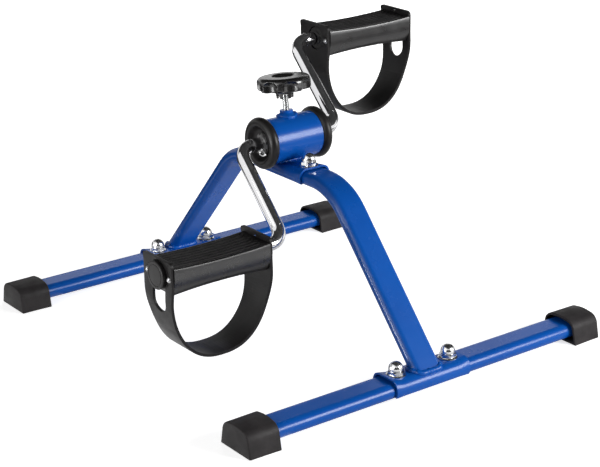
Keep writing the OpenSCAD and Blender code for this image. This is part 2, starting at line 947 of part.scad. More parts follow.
floor_bar(-1);  // floor_bar_front
floor_bar(1);  // floor_bar_rear
foot(-1, -1);  // foot_front_left
foot(1, -1);  // foot_front_right
foot(-1, 1);  // foot_rear_left
foot(1, 1);  // foot_rear_right
saddle(-1);  // saddle_front
saddle(1);  // saddle_rear
arch_tube();
hub_saddle();
hub_tube();
tension_boss();
floor_bolts();
floor_washers();
floor_nuts();
hub_bolts();
hub_washers();
hub_nuts();
hub_cap(-1);  // hub_cap_left
hub_cap(1);  // hub_cap_right
hub_bush(-1);  // hub_bush_left
hub_bush(1);  // hub_bush_right
crank(-1);  // crank_left
crank(1);  // crank_right
brake_drum();
drum_pins();
axle_retainer(-1);  // axle_retainer_left
axle_retainer(1);  // axle_retainer_right
pedal_retainer(-1);  // pedal_retainer_left
pedal_retainer(1);  // pedal_retainer_right
pedal(-1);  // pedal_left
pedal_bushes(-1);  // pedal_bushes_left
pedal_cap(-1);  // pedal_cap_left
strap(-1);  // strap_left
strap_studs(-1);  // strap_studs_left
pedal(1);  // pedal_right
pedal_bushes(1);  // pedal_bushes_right
pedal_cap(1);  // pedal_cap_right
strap(1);  // strap_right
strap_studs(1);  // strap_studs_right
brake_shoe();
brake_pad();
tension_screw();
knob();
knob_insert();
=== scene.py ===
import math
import bpy
from mathutils import Matrix, Vector


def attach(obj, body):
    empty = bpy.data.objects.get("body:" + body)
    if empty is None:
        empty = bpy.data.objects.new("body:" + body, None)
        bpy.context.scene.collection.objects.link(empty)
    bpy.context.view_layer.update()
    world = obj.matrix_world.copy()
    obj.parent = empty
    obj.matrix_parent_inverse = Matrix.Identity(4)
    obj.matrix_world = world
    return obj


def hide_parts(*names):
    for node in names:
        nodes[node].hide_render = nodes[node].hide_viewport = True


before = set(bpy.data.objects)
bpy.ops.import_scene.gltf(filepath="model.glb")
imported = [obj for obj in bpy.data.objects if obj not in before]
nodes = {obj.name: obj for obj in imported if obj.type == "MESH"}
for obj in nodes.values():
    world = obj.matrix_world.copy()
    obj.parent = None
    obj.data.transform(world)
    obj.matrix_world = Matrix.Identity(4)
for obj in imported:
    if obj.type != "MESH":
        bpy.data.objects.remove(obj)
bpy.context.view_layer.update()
print("frame:", len(nodes), "nodes")

# Places that many pieces share, in mm as in the CAD model
hub = {"z": 184.5, "d": 42, "length": 51}
pedalPlace = {"left": (-140.5, -73.728, 116.941), "right": (140.5, 73.728, 252.059)}
screwLean = 7
barPlace = {"y": 195, "z": 11, "w": 30, "h": 14}
barSides = (("front", -1), ("rear", 1))
endSides = (("left", -1), ("right", 1))

mm = 0.001
near = 0.01  # mm within which a point counts as on a plane
past = 1  # mm that a cut or a join runs past a face
mergeGap = 0.002  # mm below which two points become one
sharpAngle = 50  # degrees from which an edge gets its rounding


# Modelling helpers, all on the Blender operators
def setMode(mode):
    bpy.ops.object.mode_set(mode=mode)


def selectAll(action="SELECT"):
    bpy.ops.mesh.select_all(action=action)


def clearSelection():
    if bpy.context.object and bpy.context.object.mode != "OBJECT":
        setMode("OBJECT")
    bpy.ops.object.select_all(action="DESELECT")


def makeActive(obj):
    clearSelection()
    obj.select_set(True)
    bpy.context.view_layer.objects.active = obj


def startEdit(obj):
    makeActive(obj)
    setMode("EDIT")


def named(obj, name):
    obj.name = name
    obj.data.name = name
    return obj


# A line of points, drawn by pulling one vertex along; stays in edit mode
def drawLine(name, points):
    points = [Vector(p) * mm for p in points]
    clearSelection()
    bpy.ops.mesh.primitive_plane_add(size=mm)
    obj = named(bpy.context.object, name)
    setMode("EDIT")
    bpy.ops.mesh.select_mode(type="VERT")
    selectAll()
    bpy.ops.mesh.merge(type="CENTER")
    bpy.ops.transform.translate(value=points[0])
    for a, b in zip(points, points[1:]):
        bpy.ops.mesh.extrude_region_move(TRANSFORM_OT_translate={"value": b - a})
    selectAll()
    return obj


def mergeDoubles():
    bpy.ops.mesh.remove_doubles(threshold=mergeGap * mm)


def mergeAndTurnOut():
    selectAll()
    mergeDoubles()
    bpy.ops.mesh.normals_make_consistent(inside=False)
    setMode("OBJECT")


# A turned piece: profile of (radius, height), spun about Z
def lathe(name, profile, steps=48):
    obj = drawLine(name, [(r, 0, h) for r, h in profile])
    bpy.ops.mesh.spin(steps=steps, angle=math.tau, center=(0, 0, 0), axis=(0, 0, 1))
    mergeAndTurnOut()
    return obj


# A closed outline pulled into a solid, by one pull or several
def drawBlock(name, outline, *pulls):
    obj = drawLine(name, list(outline) + [outline[0]])
    mergeDoubles()
    bpy.ops.mesh.edge_face_add()
    for pull in pulls:
        bpy.ops.mesh.extrude_region_move(TRANSFORM_OT_translate={"value": Vector(pull) * mm})
    mergeAndTurnOut()
    return obj


def finishWith(obj, kind, **values):
    makeActive(obj)
    modifier = obj.modifiers.new(kind.title(), kind)
    for name, value in values.items():
        setattr(modifier, name, value)
    bpy.ops.object.modifier_apply(modifier=modifier.name)


def combine(obj, tool, how="DIFFERENCE"):
    finishWith(obj, "BOOLEAN", operation=how, object=tool, solver="EXACT")
    bpy.data.objects.remove(tool)


# Every sharp edge rounded
def roundSharp(obj, width, segments=3):
    finishWith(obj, "BEVEL", width=width * mm, segments=segments, limit_method="ANGLE",
               angle_limit=math.radians(sharpAngle))


# Soft all over, as a weld or a moulding is
def melt(obj, voxel, rounds):
    finishWith(obj, "REMESH", mode="VOXEL", voxel_size=voxel * mm, use_smooth_shade=True)
    finishWith(obj, "SMOOTH", factor=0.5, iterations=rounds)


def joinAll(name, objs):
    makeActive(objs[0])
    for obj in objs[1:]:
        obj.select_set(True)
    bpy.ops.object.join()
    return named(objs[0], name)


# The edges whose two ends pass a test, rounded
def roundEdges(obj, test, radius, segments=3):
    startEdit(obj)
    bpy.ops.mesh.select_mode(type="EDGE")
    selectAll("DESELECT")
    setMode("OBJECT")
    for edge in obj.data.edges:
        a, b = (obj.data.vertices[i].co / mm for i in edge.vertices)
        edge.select = test(a, b)
    setMode("EDIT")
    bpy.ops.mesh.bevel(offset=radius * mm, segments=segments, profile=0.5, affect="EDGES")
    setMode("OBJECT")


# Moves every vertex to where a rule in mm says
def reshape(obj, rule):
    for vertex in obj.data.vertices:
        vertex.co = Vector(rule(*(vertex.co / mm))) * mm
    obj.data.update()


def putAt(obj, matrix):
    makeActive(obj)
    obj.matrix_world = matrix
    bpy.ops.object.transform_apply()
    if matrix.determinant() < 0:
        setMode("EDIT")
        mergeAndTurnOut()
    return obj


def smoothBy(obj, angle=35):
    makeActive(obj)
    bpy.ops.object.shade_smooth_by_angle(angle=math.radians(angle))
    return obj


def copyAt(model, name, matrix):
    makeActive(model)
    bpy.ops.object.duplicate()
    return putAt(named(bpy.context.object, name), matrix)


def dress(obj, finishName, body, slot, *replaced):
    obj.data.materials.clear()
    obj.data.materials.append(finish[finishName])
    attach(obj, body)
    if replaced:
        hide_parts(*replaced)


def removeAll(*models):
    for model in models:
        bpy.data.objects.remove(model)


def shift(x, y, z):
    return Matrix.Translation(Vector((x, y, z)) * mm)


def turn(degrees, axis):
    return Matrix.Rotation(math.radians(degrees), 4, axis)


def flipX(side):
    return Matrix.Scale(side, 4, (1, 0, 0))


def onScrew(height):
    return shift(0, 0, hub["z"]) @ turn(-screwLean, "X") @ shift(0, 0, height)


def onHubEnd(side, height=0):
    return shift(side * hub["length"] / 2, 0, hub["z"]) @ turn(side * 90, "Y") @ shift(0, 0, height)


def arcPoints(cx, cy, r, fromDeg, toDeg, steps):
    angles = [math.radians(fromDeg + (toDeg - fromDeg) * i / steps) for i in range(steps + 1)]
    return [(cx + r * math.cos(a), cy + r * math.sin(a)) for a in angles]


def mirrored(half):
    return half + [(-y, z) for y, z in half[::-1]]


def ease(u):
    u = min(max(u, 0), 1)
    return u * u * (3 - 2 * u)


# Finishes: two colours that drift into each other, a roughness range, a fine bump and, on some, pale scuffs
finishSteps = {"drift": (0.35, 0.68), "smear": (0.3, 0.7), "scuffSpan": 0.12}


def addNode(owner, kind, **inputs):
    node = owner.node_tree.nodes.new(kind)
    for name, value in inputs.items():
        node.inputs[name.replace("_", " ")].default_value = value
    return node


def link(owner, fromNode, output, toNode, name):
    owner.node_tree.links.new(fromNode.outputs[output], toNode.inputs[name])


def makeFinish(name, look):
    material = bpy.data.materials.new(name)
    material.use_nodes = True
    shader = material.node_tree.nodes["Principled BSDF"]
    for socket, value in look["set"].items():
        shader.inputs[socket].default_value = value
    place = addNode(material, "ShaderNodeTexCoord")
    stretch = addNode(material, "ShaderNodeMapping", Scale=look.get("stretch", (1, 1, 1)))
    link(material, place, "Object", stretch, "Vector")
    # Drift of the colour over the piece
    drift = addNode(material, "ShaderNodeTexNoise", Scale=look["drift"], Detail=4.0, Roughness=0.6)
    link(material, place, "Object", drift, "Vector")
    blend = addNode(material, "ShaderNodeValToRGB")
    for stop, position, color in zip(blend.color_ramp.elements, finishSteps["drift"], look["colors"]):
        stop.position = position
        stop.color = (*color, 1)
    link(material, drift, "Fac", blend, "Fac")
    # Smears in the roughness, and fine grain in the bump
    smear = addNode(material, "ShaderNodeTexNoise", Scale=look["smear"], Detail=5.0, Roughness=0.65)
    link(material, stretch, "Vector", smear, "Vector")
    low, high = finishSteps["smear"]
    rough = addNode(material, "ShaderNodeMapRange", From_Min=low, From_Max=high,
                    To_Min=look["rough"][0], To_Max=look["rough"][1])
    link(material, smear, "Fac", rough, "Value")
    link(material, rough, "Result", shader, "Roughness")
    if look.get("cells"):
        grain = addNode(material, "ShaderNodeTexVoronoi", Scale=look["grain"])
        grainOut = "Distance"
    else:
        grain = addNode(material, "ShaderNodeTexNoise", Scale=look["grain"], Detail=3.0)
        grainOut = "Fac"
    link(material, stretch, "Vector", grain, "Vector")
    bump = addNode(material, "ShaderNodeBump", Strength=look["bump"], Distance=look["bumpDepth"] * mm)
    link(material, grain, grainOut, bump, "Height")
    link(material, bump, "Normal", shader, "Normal")
    if "scuff" not in look:
        link(material, blend, "Color", shader, "Base Color")
        return material
    # Pale scuffs where a coarse noise peaks
    marks = look["scuff"]
    scuff = addNode(material, "ShaderNodeTexNoise", Scale=marks["scale"], Detail=8.0, Roughness=0.7)
    link(material, stretch, "Vector", scuff, "Vector")
    limit = addNode(material, "ShaderNodeMapRange", From_Min=marks["start"],
                    From_Max=marks["start"] + finishSteps["scuffSpan"], To_Max=marks["amount"])
    link(material, scuff, "Fac", limit, "Value")
    mix = addNode(material, "ShaderNodeMix")
    mix.data_type = "RGBA"
    colorA, colorB, colorOut = 6, 7, 2  # the colour sockets of a Mix node
    mix.inputs[colorB].default_value = (*marks["color"], 1)
    link(material, limit, "Result", mix, "Factor")
    link(material, blend, "Color", mix, colorA)
    link(material, mix, colorOut, shader, "Base Color")
    return material


finishes = {
    "framePaint": {
        "colors": [(0.002, 0.076, 0.37), (0.003, 0.092, 0.43)], "drift": 9, "smear": 14,
        "grain": 420, "rough": (0.20, 0.30), "bump": 0.05, "bumpDepth": 0.25,
        "set": {"Coat Weight": 0.05, "Coat Roughness": 0.08, "Specular IOR Level": 0.23},
        "scuff": {"scale": 60, "start": 0.70, "amount": 0.05, "color": (0.05, 0.16, 0.50)},
    },
    "bootRubber": {
        "colors": [(0.021, 0.0193, 0.0198), (0.037, 0.0338, 0.0347)], "drift": 45, "smear": 70,
        "grain": 1500, "rough": (0.42, 0.60), "bump": 0.22, "bumpDepth": 0.3,
        "set": {"Specular IOR Level": 0.13},
        "scuff": {"scale": 110, "start": 0.60, "amount": 0.25, "color": (0.07, 0.065, 0.063)},
    },
    "pedalPlastic": {
        "colors": [(0.008, 0.0074, 0.0077), (0.015, 0.0139, 0.0143)], "drift": 30, "smear": 55,
        "grain": 1900, "cells": True, "rough": (0.25, 0.36), "bump": 0.12, "bumpDepth": 0.2,
        "set": {"Specular IOR Level": 0.85},
        "scuff": {"scale": 90, "start": 0.62, "amount": 0.2, "color": (0.05, 0.047, 0.048)},
    },
    # The pedal's deck: matte from wear, its colour a little darker than the sides as painted shade
    "pedalTread": {
        "colors": [(0.006, 0.0056, 0.0058), (0.012, 0.0112, 0.0115)], "drift": 40, "smear": 70,
        "grain": 1900, "cells": True, "rough": (0.42, 0.58), "bump": 0.16, "bumpDepth": 0.2,
        "set": {"Specular IOR Level": 0.1},
        "scuff": {"scale": 120, "start": 0.60, "amount": 0.3, "color": (0.04, 0.038, 0.038)},
    },
    "strapRubber": {
        "colors": [(0.010, 0.0092, 0.0095), (0.018, 0.0165, 0.017)], "drift": 26, "smear": 60,
        "grain": 1300, "rough": (0.36, 0.52), "bump": 0.14, "bumpDepth": 0.25,
        "set": {"Specular IOR Level": 0.18},
        "scuff": {"scale": 70, "start": 0.62, "amount": 0.2, "color": (0.045, 0.042, 0.042)},
    },
    "knobPlastic": {
        "colors": [(0.007, 0.0065, 0.0065), (0.013, 0.012, 0.012)], "drift": 60, "smear": 90,
        "grain": 1700, "cells": True, "rough": (0.16, 0.26), "bump": 0.04, "bumpDepth": 0.12,
        "set": {"Specular IOR Level": 0.8},
        "scuff": {"scale": 150, "start": 0.64, "amount": 0.15, "color": (0.05, 0.047, 0.047)},
    },
    "capPlastic": {
        "colors": [(0.010, 0.0091, 0.0091), (0.017, 0.0155, 0.0155)], "drift": 50, "smear": 80,
        "grain": 1800, "cells": True, "rough": (0.30, 0.44), "bump": 0.08, "bumpDepth": 0.2,
        "set": {"Specular IOR Level": 0.24},
        "scuff": {"scale": 130, "start": 0.64, "amount": 0.15, "color": (0.05, 0.045, 0.043)},
    },
    "chromePlate": {
        "colors": [(0.74, 0.74, 0.76), (0.84, 0.84, 0.85)], "drift": 25, "smear": 120,
        "grain": 2600, "rough": (0.035, 0.10), "bump": 0.012, "bumpDepth": 0.05,
        "set": {"Metallic": 1.0},
    },
    "brightNut": {
        "colors": [(0.66, 0.67, 0.68), (0.82, 0.82, 0.82)], "drift": 150, "smear": 260,
        "grain": 2400, "rough": (0.10, 0.24), "bump": 0.03, "bumpDepth": 0.06,
        "set": {"Metallic": 1.0},
    },
    "zincPlate": {
        "colors": [(0.30, 0.30, 0.31), (0.46, 0.46, 0.45)], "drift": 180, "smear": 300,
        "grain": 2200, "rough": (0.22, 0.40), "bump": 0.05, "bumpDepth": 0.08,
        "set": {"Metallic": 1.0},
    },
    # Dark steel: bare steel on the hidden drum and shoe, painted shade on the star washers
    "bareSteelAndShade": {
        "colors": [(0.10, 0.10, 0.105), (0.19, 0.185, 0.18)], "drift": 90, "smear": 240,
        "grain": 1800, "stretch": (1, 6, 6), "rough": (0.28, 0.46), "bump": 0.06, "bumpDepth": 0.1,
        "set": {"Metallic": 1.0},
    },
    "bushNylon": {
        "colors": [(0.014, 0.013, 0.013), (0.024, 0.023, 0.022)], "drift": 70, "smear": 90,
        "grain": 1500, "rough": (0.38, 0.52), "bump": 0.05, "bumpDepth": 0.15,
        "set": {"Specular IOR Level": 0.25},
    },
    "padFelt": {
        "colors": [(0.13, 0.09, 0.055), (0.22, 0.16, 0.10)], "drift": 220, "smear": 500,
        "grain": 2800, "rough": (0.85, 0.98), "bump": 0.7, "bumpDepth": 0.5,
        "set": {"Sheen Weight": 0.3},
    },
    "insertBrass": {
        "colors": [(0.58, 0.38, 0.12), (0.70, 0.50, 0.20)], "drift": 160, "smear": 260,
        "grain": 2000, "rough": (0.20, 0.36), "bump": 0.05, "bumpDepth": 0.08,
        "set": {"Metallic": 1.0},
    },
}
finish = {name: makeFinish(name, look) for name, look in finishes.items()}
print("finishes:", len(finish))

# CAD nodes that keep their own shape, with the finish each one takes
nodeFinish = {
    "framePaint": ["floor_bar_front", "floor_bar_rear", "arch_tube", "hub_tube", "tension_boss"],
    "zincPlate": ["floor_bolts", "hub_bolts", "drum_pins", "pedal_retainer_left", "pedal_retainer_right"],
    "bushNylon": ["hub_bush_left", "hub_bush_right"],
    "chromePlate": ["crank_left", "crank_right"],
    "bareSteelAndShade": ["brake_drum", "brake_shoe"],
    "padFelt": ["brake_pad"],
    "insertBrass": ["knob_insert"],
}
for name, members in nodeFinish.items():
    for member in members:
        nodes[member].data.materials.clear()
        nodes[member].data.materials.append(finish[name])
print("CAD nodes dressed:", sum(len(m) for m in nodeFinish.values()))

# Rubber boots over the bar ends, hollow, with an open mouth round the bar
boot = {
    "end": 201, "length": 32, "width": 44, "height": 24, "corner": 10.5, "cornerArc": (4, 84), "crown": 1,
    "crownShares": (0.85, 0.55, 0.25), "draft": 2.6, "taper": 0.98, "topTaper": 0.5, "endRound": 1.3,
    "baseRound": 0.4, "wall": 2.8, "mouthDepth": 9, "rimRound": 0.8, "endWall": 4, "barGap": 0.15,
}


def bootOutline(look, inset, x):
    half = look["width"] / 2 - inset
    top = look["height"] - inset
    r = look["corner"] - inset
    reach = half - look["draft"] - r
    side = arcPoints(reach, look["height"] - look["crown"] - inset - r, r, *look["cornerArc"], 10)
    crown = [(reach * share, top - look["crown"] * share * share) for share in look["crownShares"]]
    return [(x, y, z) for y, z in mirrored([(half, inset)] + side + crown)]


def ovalOutline(w, h, x, z, steps=16):
    reach = (w - h) / 2
    right = arcPoints(reach, z, h / 2, -90, 90, steps)
    left = arcPoints(-reach, z, h / 2, 90, 270, steps)
    return [(x, y, up) for y, up in right + left]


def makeBoot(look):
    length, mouthDepth, gap = look["length"], look["mouthDepth"], 2 * look["barGap"]
    obj = drawBlock("boot", bootOutline(look, 0, 0), (length, 0, 0))
    mouth = drawBlock("bootMouth", bootOutline(look, look["wall"], length - mouthDepth),
                      (mouthDepth + past, 0, 0))
    bar = ovalOutline(barPlace["w"] + gap, barPlace["h"] + gap, look["endWall"], barPlace["z"])
    socket = drawBlock("bootSocket", bar, (length, 0, 0))
    roundEdges(obj, lambda a, b: max(a.x, b.x) < near and max(a.z, b.z) > near, look["endRound"], 4)
    roundEdges(obj, lambda a, b: max(a.z, b.z) < near, look["baseRound"], 2)
    combine(obj, mouth)
    combine(obj, socket)
    roundEdges(obj, lambda a, b: min(a.x, b.x) > length - near, look["rimRound"])

    # The closed end is a little smaller than the mouth
    def drawIn(x, y, z):
        k = look["taper"] + (1 - look["taper"]) * min(x / (length - mouthDepth), 1)
        return x, y * k, z * (1 - look["topTaper"] * (1 - k))

    reshape(obj, drawIn)
    return smoothBy(obj, 32)


bootModel = makeBoot(boot)
for endName, endSide in endSides:
    for barName, barSide in barSides:
        place = shift(endSide * boot["end"], barSide * barPlace["y"], 0) @ flipX(-endSide)
        one = copyAt(bootModel, f"boot_{barName}_{endName}", place)
        dress(one, "bootRubber", "frame", "foot_rubber", f"foot_{barName}_{endName}")
removeAll(bootModel)
print("boots made")

# Saddles: pressed half shells with rounded rims, over the floor bars and the arch top
saddle = {
    "wall": 2, "gap": 0.1, "rim": 0.7, "archW": 30, "archH": 12.5, "archZ": 156.25, "sideLip": 0.5,
    "lipLength": 10, "floor": {"length": 84, "drop": 5, "lip": 1.9},
    "arch": {"length": 80, "drop": 5, "lip": 1.1},
}


def shellOutline(w, h, drop, x):
    reach = (w - h) / 2
    under = math.degrees(math.asin(drop / (h / 2)))
    right = arcPoints(reach, 0, h / 2, -under, 90, 20)
    left = arcPoints(-reach, 0, h / 2, 90, 180 + under, 20)
    return [(x, y, z) for y, z in right + left]


def makeShell(name, w, h, part):
    length, drop, lip = part["length"], part["drop"], part["lip"]
    grow, gap, end = 2 * saddle["wall"], 2 * saddle["gap"], saddle["lipLength"]
    outside = shellOutline(w + grow, h + grow, drop, -length / 2)
    inside = shellOutline(w + gap, h + gap, drop, -length / 2)
    obj = drawBlock(name, outside + inside[::-1], (end, 0, 0), (length - 2 * end, 0, 0), (end, 0, 0))

    # Both ends stand a little off the tube, as a pressed edge does
    def openEnds(x, y, z):
        if abs(x) < length / 2 - near:
            return x, y, z
        return x, y * (1 + saddle["sideLip"] / (w / 2)), z + lip * ease(z / (h / 2))

    reshape(obj, openEnds)
    roundSharp(obj, saddle["rim"])
    return smoothBy(obj)


for barName, barSide in barSides:
    one = makeShell(f"saddle_{barName}_shell", barPlace["w"], barPlace["h"], saddle["floor"])
    putAt(one, shift(0, barSide * barPlace["y"], barPlace["z"]))
    dress(one, "framePaint", "frame", "frame_paint", f"saddle_{barName}")
one = makeShell("hub_saddle_shell", saddle["archW"], saddle["archH"], saddle["arch"])
putAt(one, shift(0, 0, saddle["archZ"]) @ turn(90, "Z"))
dress(one, "framePaint", "frame", "frame_paint", "hub_saddle")
print("saddles made")

# Weld beads: rows of small overlapping blobs, melted together
weld = {"voxel": 0.5, "smooth": 10, "wobble": ((0.10, 1.3), (0.05, 3.1))}
legWeld = {
    "blob": 2.8, "step": 1.3, "closest": 0.6, "lift": 0.69, "footY": 198, "footZ": 20, "cornerY": 77,
    "legW": 30, "legH": 12.5, "above": 40,
}
hubWeld = {"blob": 1.6, "step": 1.75, "count": 17, "from": -14, "y": 6.9, "z": 164.6}
bossWeld = {"blob": 2.5, "count": 22, "r": 7.9, "lift": 0.5}


def makeBead(name, points, blob):
    blobs = []
    for i, point in enumerate(points):
        clearSelection()
        size = blob * (1 + sum(amount * math.sin(pace * i) for amount, pace in weld["wobble"]))
        bpy.ops.mesh.primitive_ico_sphere_add(subdivisions=2, radius=size * mm, location=point)
        blobs.append(bpy.context.object)
    obj = joinAll(name, blobs)
    makeActive(obj)
    bpy.ops.object.transform_apply()
    melt(obj, weld["voxel"], weld["smooth"])
    dress(obj, "framePaint", "frame", "frame_paint")


def evenSteps(path, step, closest):
    out = []
    for a, b in zip(path, path[1:] + path[:1]):
        count = max(round((b - a).length / (step * mm)), 1)
        if out and (a - out[-1]).length < step * mm * closest:
            continue
        out += [a.lerp(b, i / count) for i in range(count)]
    return out


# Where the leg's outline, sent down along the leg, meets the saddle
def legWeldPath(look, side, target):
    foot = Vector((0, side * look["footY"], look["footZ"]))
    down = (foot - Vector((0, side * look["cornerY"], saddle["archZ"]))).normalized()
    across = Vector((0, -down.z, down.y))
    path = []
    bpy.context.view_layer.update()
    for _, x, y in ovalOutline(look["legW"], look["legH"], 0, 0, 40):
        start = foot - down * look["above"] + Vector((x, 0, 0)) + across * y
        hit, place, _, _ = target.ray_cast(start * mm, down)
        if hit:
            path.append(place - down * look["lift"] * mm)
    return path


for barName, barSide in barSides:
    path = legWeldPath(legWeld, barSide, bpy.data.objects[f"saddle_{barName}_shell"])
    makeBead(f"leg_weld_{barName}", evenSteps(path, legWeld["step"], legWeld["closest"]), legWeld["blob"])
for barName, barSide in barSides:
    along = [hubWeld["from"] + hubWeld["step"] * i for i in range(hubWeld["count"])]
    row = [Vector((x, barSide * hubWeld["y"], hubWeld["z"])) * mm for x in along]
    makeBead(f"hub_weld_{barName}", row, hubWeld["blob"])
ringOfWeld = []
for i in range(bossWeld["count"]):
    angle = math.tau * i / bossWeld["count"]
    x, y = bossWeld["r"] * math.cos(angle), bossWeld["r"] * math.sin(angle)
    height = math.sqrt((hub["d"] / 2) ** 2 - y * y) + bossWeld["lift"]
    ringOfWeld.append(onScrew(0) @ (Vector((x, y, height)) * mm))
makeBead("boss_weld", ringOfWeld, bossWeld["blob"])
print("welds made")

# Dome nuts on flange washers; a rim is given from the outer radius
nut = {
    "flats": 13.4, "hexHeight": 3.4, "chamfer": 1.1, "coneGrow": 0.2, "topIn": 0.35, "round": 0.35,
    "domeD": 13.4, "height": 11.4, "neckIn": 0.4, "neckLow": 0.3, "neckHigh": 0.7,
}
washer = {
    "d": 18, "t": 1.5, "holeR": 3.1, "edge": 0.2, "topIn": 1.4,
    "rim": [(-0.2, 0), (0, 0.25), (0, 0.75), (-0.35, 1.05)],
}
# x, y and turn of each nut
nutRows = {
    "floor": [(-30, -195, 12), (30, -195, 41), (-30, 195, 25), (30, 195, 55)],
    "hub": [(0, -31, 18), (0, 31, 47)],
}
nutSeat = {
    "floor": barPlace["z"] + barPlace["h"] / 2 + saddle["wall"],
    "hub": saddle["archZ"] + saddle["archH"] / 2 + saddle["wall"],
}


def makeNut(look):
    corner, top = look["flats"] / 2 / math.cos(math.pi / 6), look["hexHeight"]
    clearSelection()
    bpy.ops.mesh.primitive_cylinder_add(vertices=6, radius=corner * mm, depth=top * mm,
                                        location=(0, 0, top / 2 * mm))
    obj = named(bpy.context.object, "nut")
    bpy.ops.object.transform_apply()
    roundEdges(obj, lambda a, b: abs(a.z - b.z) > top / 2, look["round"], 2)
    cone = lathe("nutCone", [(0, -past), (corner, -past), (corner + look["coneGrow"], top - look["chamfer"]),
                             (look["flats"] / 2 - look["topIn"], top), (0, top)])
    combine(obj, cone, "INTERSECT")
    r = look["domeD"] / 2
    neckR = r - look["neckIn"]
    neck = [(0, top - past), (neckR, top - past), (neckR, top + look["neckLow"]), (r, top + look["neckHigh"])]
    dome = lathe("nutDome", neck + arcPoints(0, look["height"] - r, r, 2, 90, 14))
    combine(obj, dome, "UNION")
    return smoothBy(obj, 32)


def makeWasher(look):
    r, t, hole, edge = look["d"] / 2, look["t"], look["holeR"], look["edge"]
    rim = [(r + inward, up) for inward, up in look["rim"]] + [(r - look["topIn"], t)]
    return smoothBy(lathe("washer", [(hole, 0)] + rim + [(hole + edge, t), (hole, t - edge), (hole, 0)]))


nutModel = makeNut(nut)
washerModel = makeWasher(washer)
for rowName, row in nutRows.items():
    nutSet, washerSet = [], []
    seat = nutSeat[rowName]
    for x, y, spin in row:
        nutSet.append(copyAt(nutModel, "oneNut", shift(x, y, seat + washer["t"]) @ turn(spin, "Z")))
        washerSet.append(copyAt(washerModel, "oneWasher", shift(x, y, seat)))
    dress(joinAll(f"{rowName}_dome_nuts", nutSet), "brightNut", "frame", "chrome", f"{rowName}_nuts")
    one = joinAll(f"{rowName}_flange_washers", washerSet)
    dress(one, "brightNut", "frame", "chrome", f"{rowName}_washers")
removeAll(nutModel, washerModel)
print("nuts made")

# Hub end caps with a thick round rim and a dished face, and the star washers inside them, in dark steel as
# painted shade with a bright tab as their lit part
hubCap = {
    "rimR": 5, "outerR": 24.5, "rimArc": (-90, 118), "plugR": 18.4, "plug": 9, "bore": 9, "floor": 3,
    "floorR": 11, "dish": [(16.3, 8.1), (15.4, 6.6), (14.6, 5.3), (13.6, 4.2), (12.4, 3.4)],
}
star = {
    "bore": 6.4, "d": 19, "t": 0.9, "lift": 1.2, "bowl": 0.3, "petals": 8, "gapD": 3.2, "cutLength": 20,
    "height": 4.4, "turn": 15,
}
# Bright tab that stands for the lit lower part of the star washer, a painted highlight
fan = {
    "inner": 6.6, "outer": 12.2, "half": 42, "innerShare": 0.55, "t": 1, "edge": 0.25, "height": 5.2,
    "hole": [(8.0, 0), (10.6, 2.2), (10.6, -2.2)],
}


def makeHubCap(look):
    rimR, bore, plugR, low = look["rimR"], look["bore"], look["plugR"], -look["plug"]
    rim = arcPoints(look["outerR"] - rimR, rimR, rimR, *look["rimArc"], 22)
    dish = look["dish"] + [(look["floorR"], look["floor"]), (bore, look["floor"])]
    obj = lathe("hubCap", [(bore, low), (plugR, low), (plugR, 0)] + rim + dish + [(bore, low)], 72)
    return smoothBy(obj, 50)


def makeStar(look):
    r, t = look["d"] / 2, look["t"]
    middle = (look["bore"] + r) / 2
    under = [(look["bore"], 0), (middle, look["lift"] * look["bowl"]), (r, look["lift"] - t)]
    over = [(out, up + t) for out, up in under[::-1]]
    obj = lathe("star", under + over + [under[0]], 72)
    for i in range(look["petals"]):
        clearSelection()
        angle = math.tau * i / look["petals"]
        bpy.ops.mesh.primitive_cylinder_add(vertices=24, radius=look["gapD"] / 2 * mm,
                                            depth=look["cutLength"] * mm,
                                            location=(r * math.cos(angle) * mm, r * math.sin(angle) * mm, 0))
        combine(obj, bpy.context.object)
    return smoothBy(obj, 40)


def makeFan(look):
    half, innerHalf = look["half"], look["half"] * look["innerShare"]
    outer = arcPoints(0, 0, look["outer"], -half, half, 20)
    inner = arcPoints(0, 0, look["inner"], innerHalf, -innerHalf, 10)
    obj = drawBlock("fan", [(x, y, 0) for x, y in outer + inner], (0, 0, look["t"]))
    hole = drawBlock("fanHole", [(x, y, -past) for x, y in look["hole"]], (0, 0, look["t"] + 2 * past))
    combine(obj, hole)
    roundSharp(obj, look["edge"], 2)
    return smoothBy(obj, 40)


capModel = makeHubCap(hubCap)
starModel = makeStar(star)
fanModel = makeFan(fan)
for sideName, side in endSides:
    one = copyAt(capModel, f"hub_end_cap_{sideName}", onHubEnd(side))
    dress(one, "capPlastic", "frame", "cap_plastic", f"hub_cap_{sideName}")
    # The star washer is dark steel as painted shade of the cap's rim
    one = copyAt(starModel, f"axle_star_{sideName}", onHubEnd(side, star["height"]) @ turn(star["turn"], "Z"))
    dress(one, "bareSteelAndShade", "crank", "chrome", f"axle_retainer_{sideName}")
    # The bright tab is the lit lower part of the star washer, a painted highlight beside its painted shade
    one = copyAt(fanModel, f"axle_tab_{sideName}", onHubEnd(side, fan["height"]) @ turn(90 - 90 * side, "Z"))
    dress(one, "brightNut", "crank", "chrome", f"axle_retainer_{sideName}")
removeAll(capModel, starModel, fanModel)
print("hub caps made")

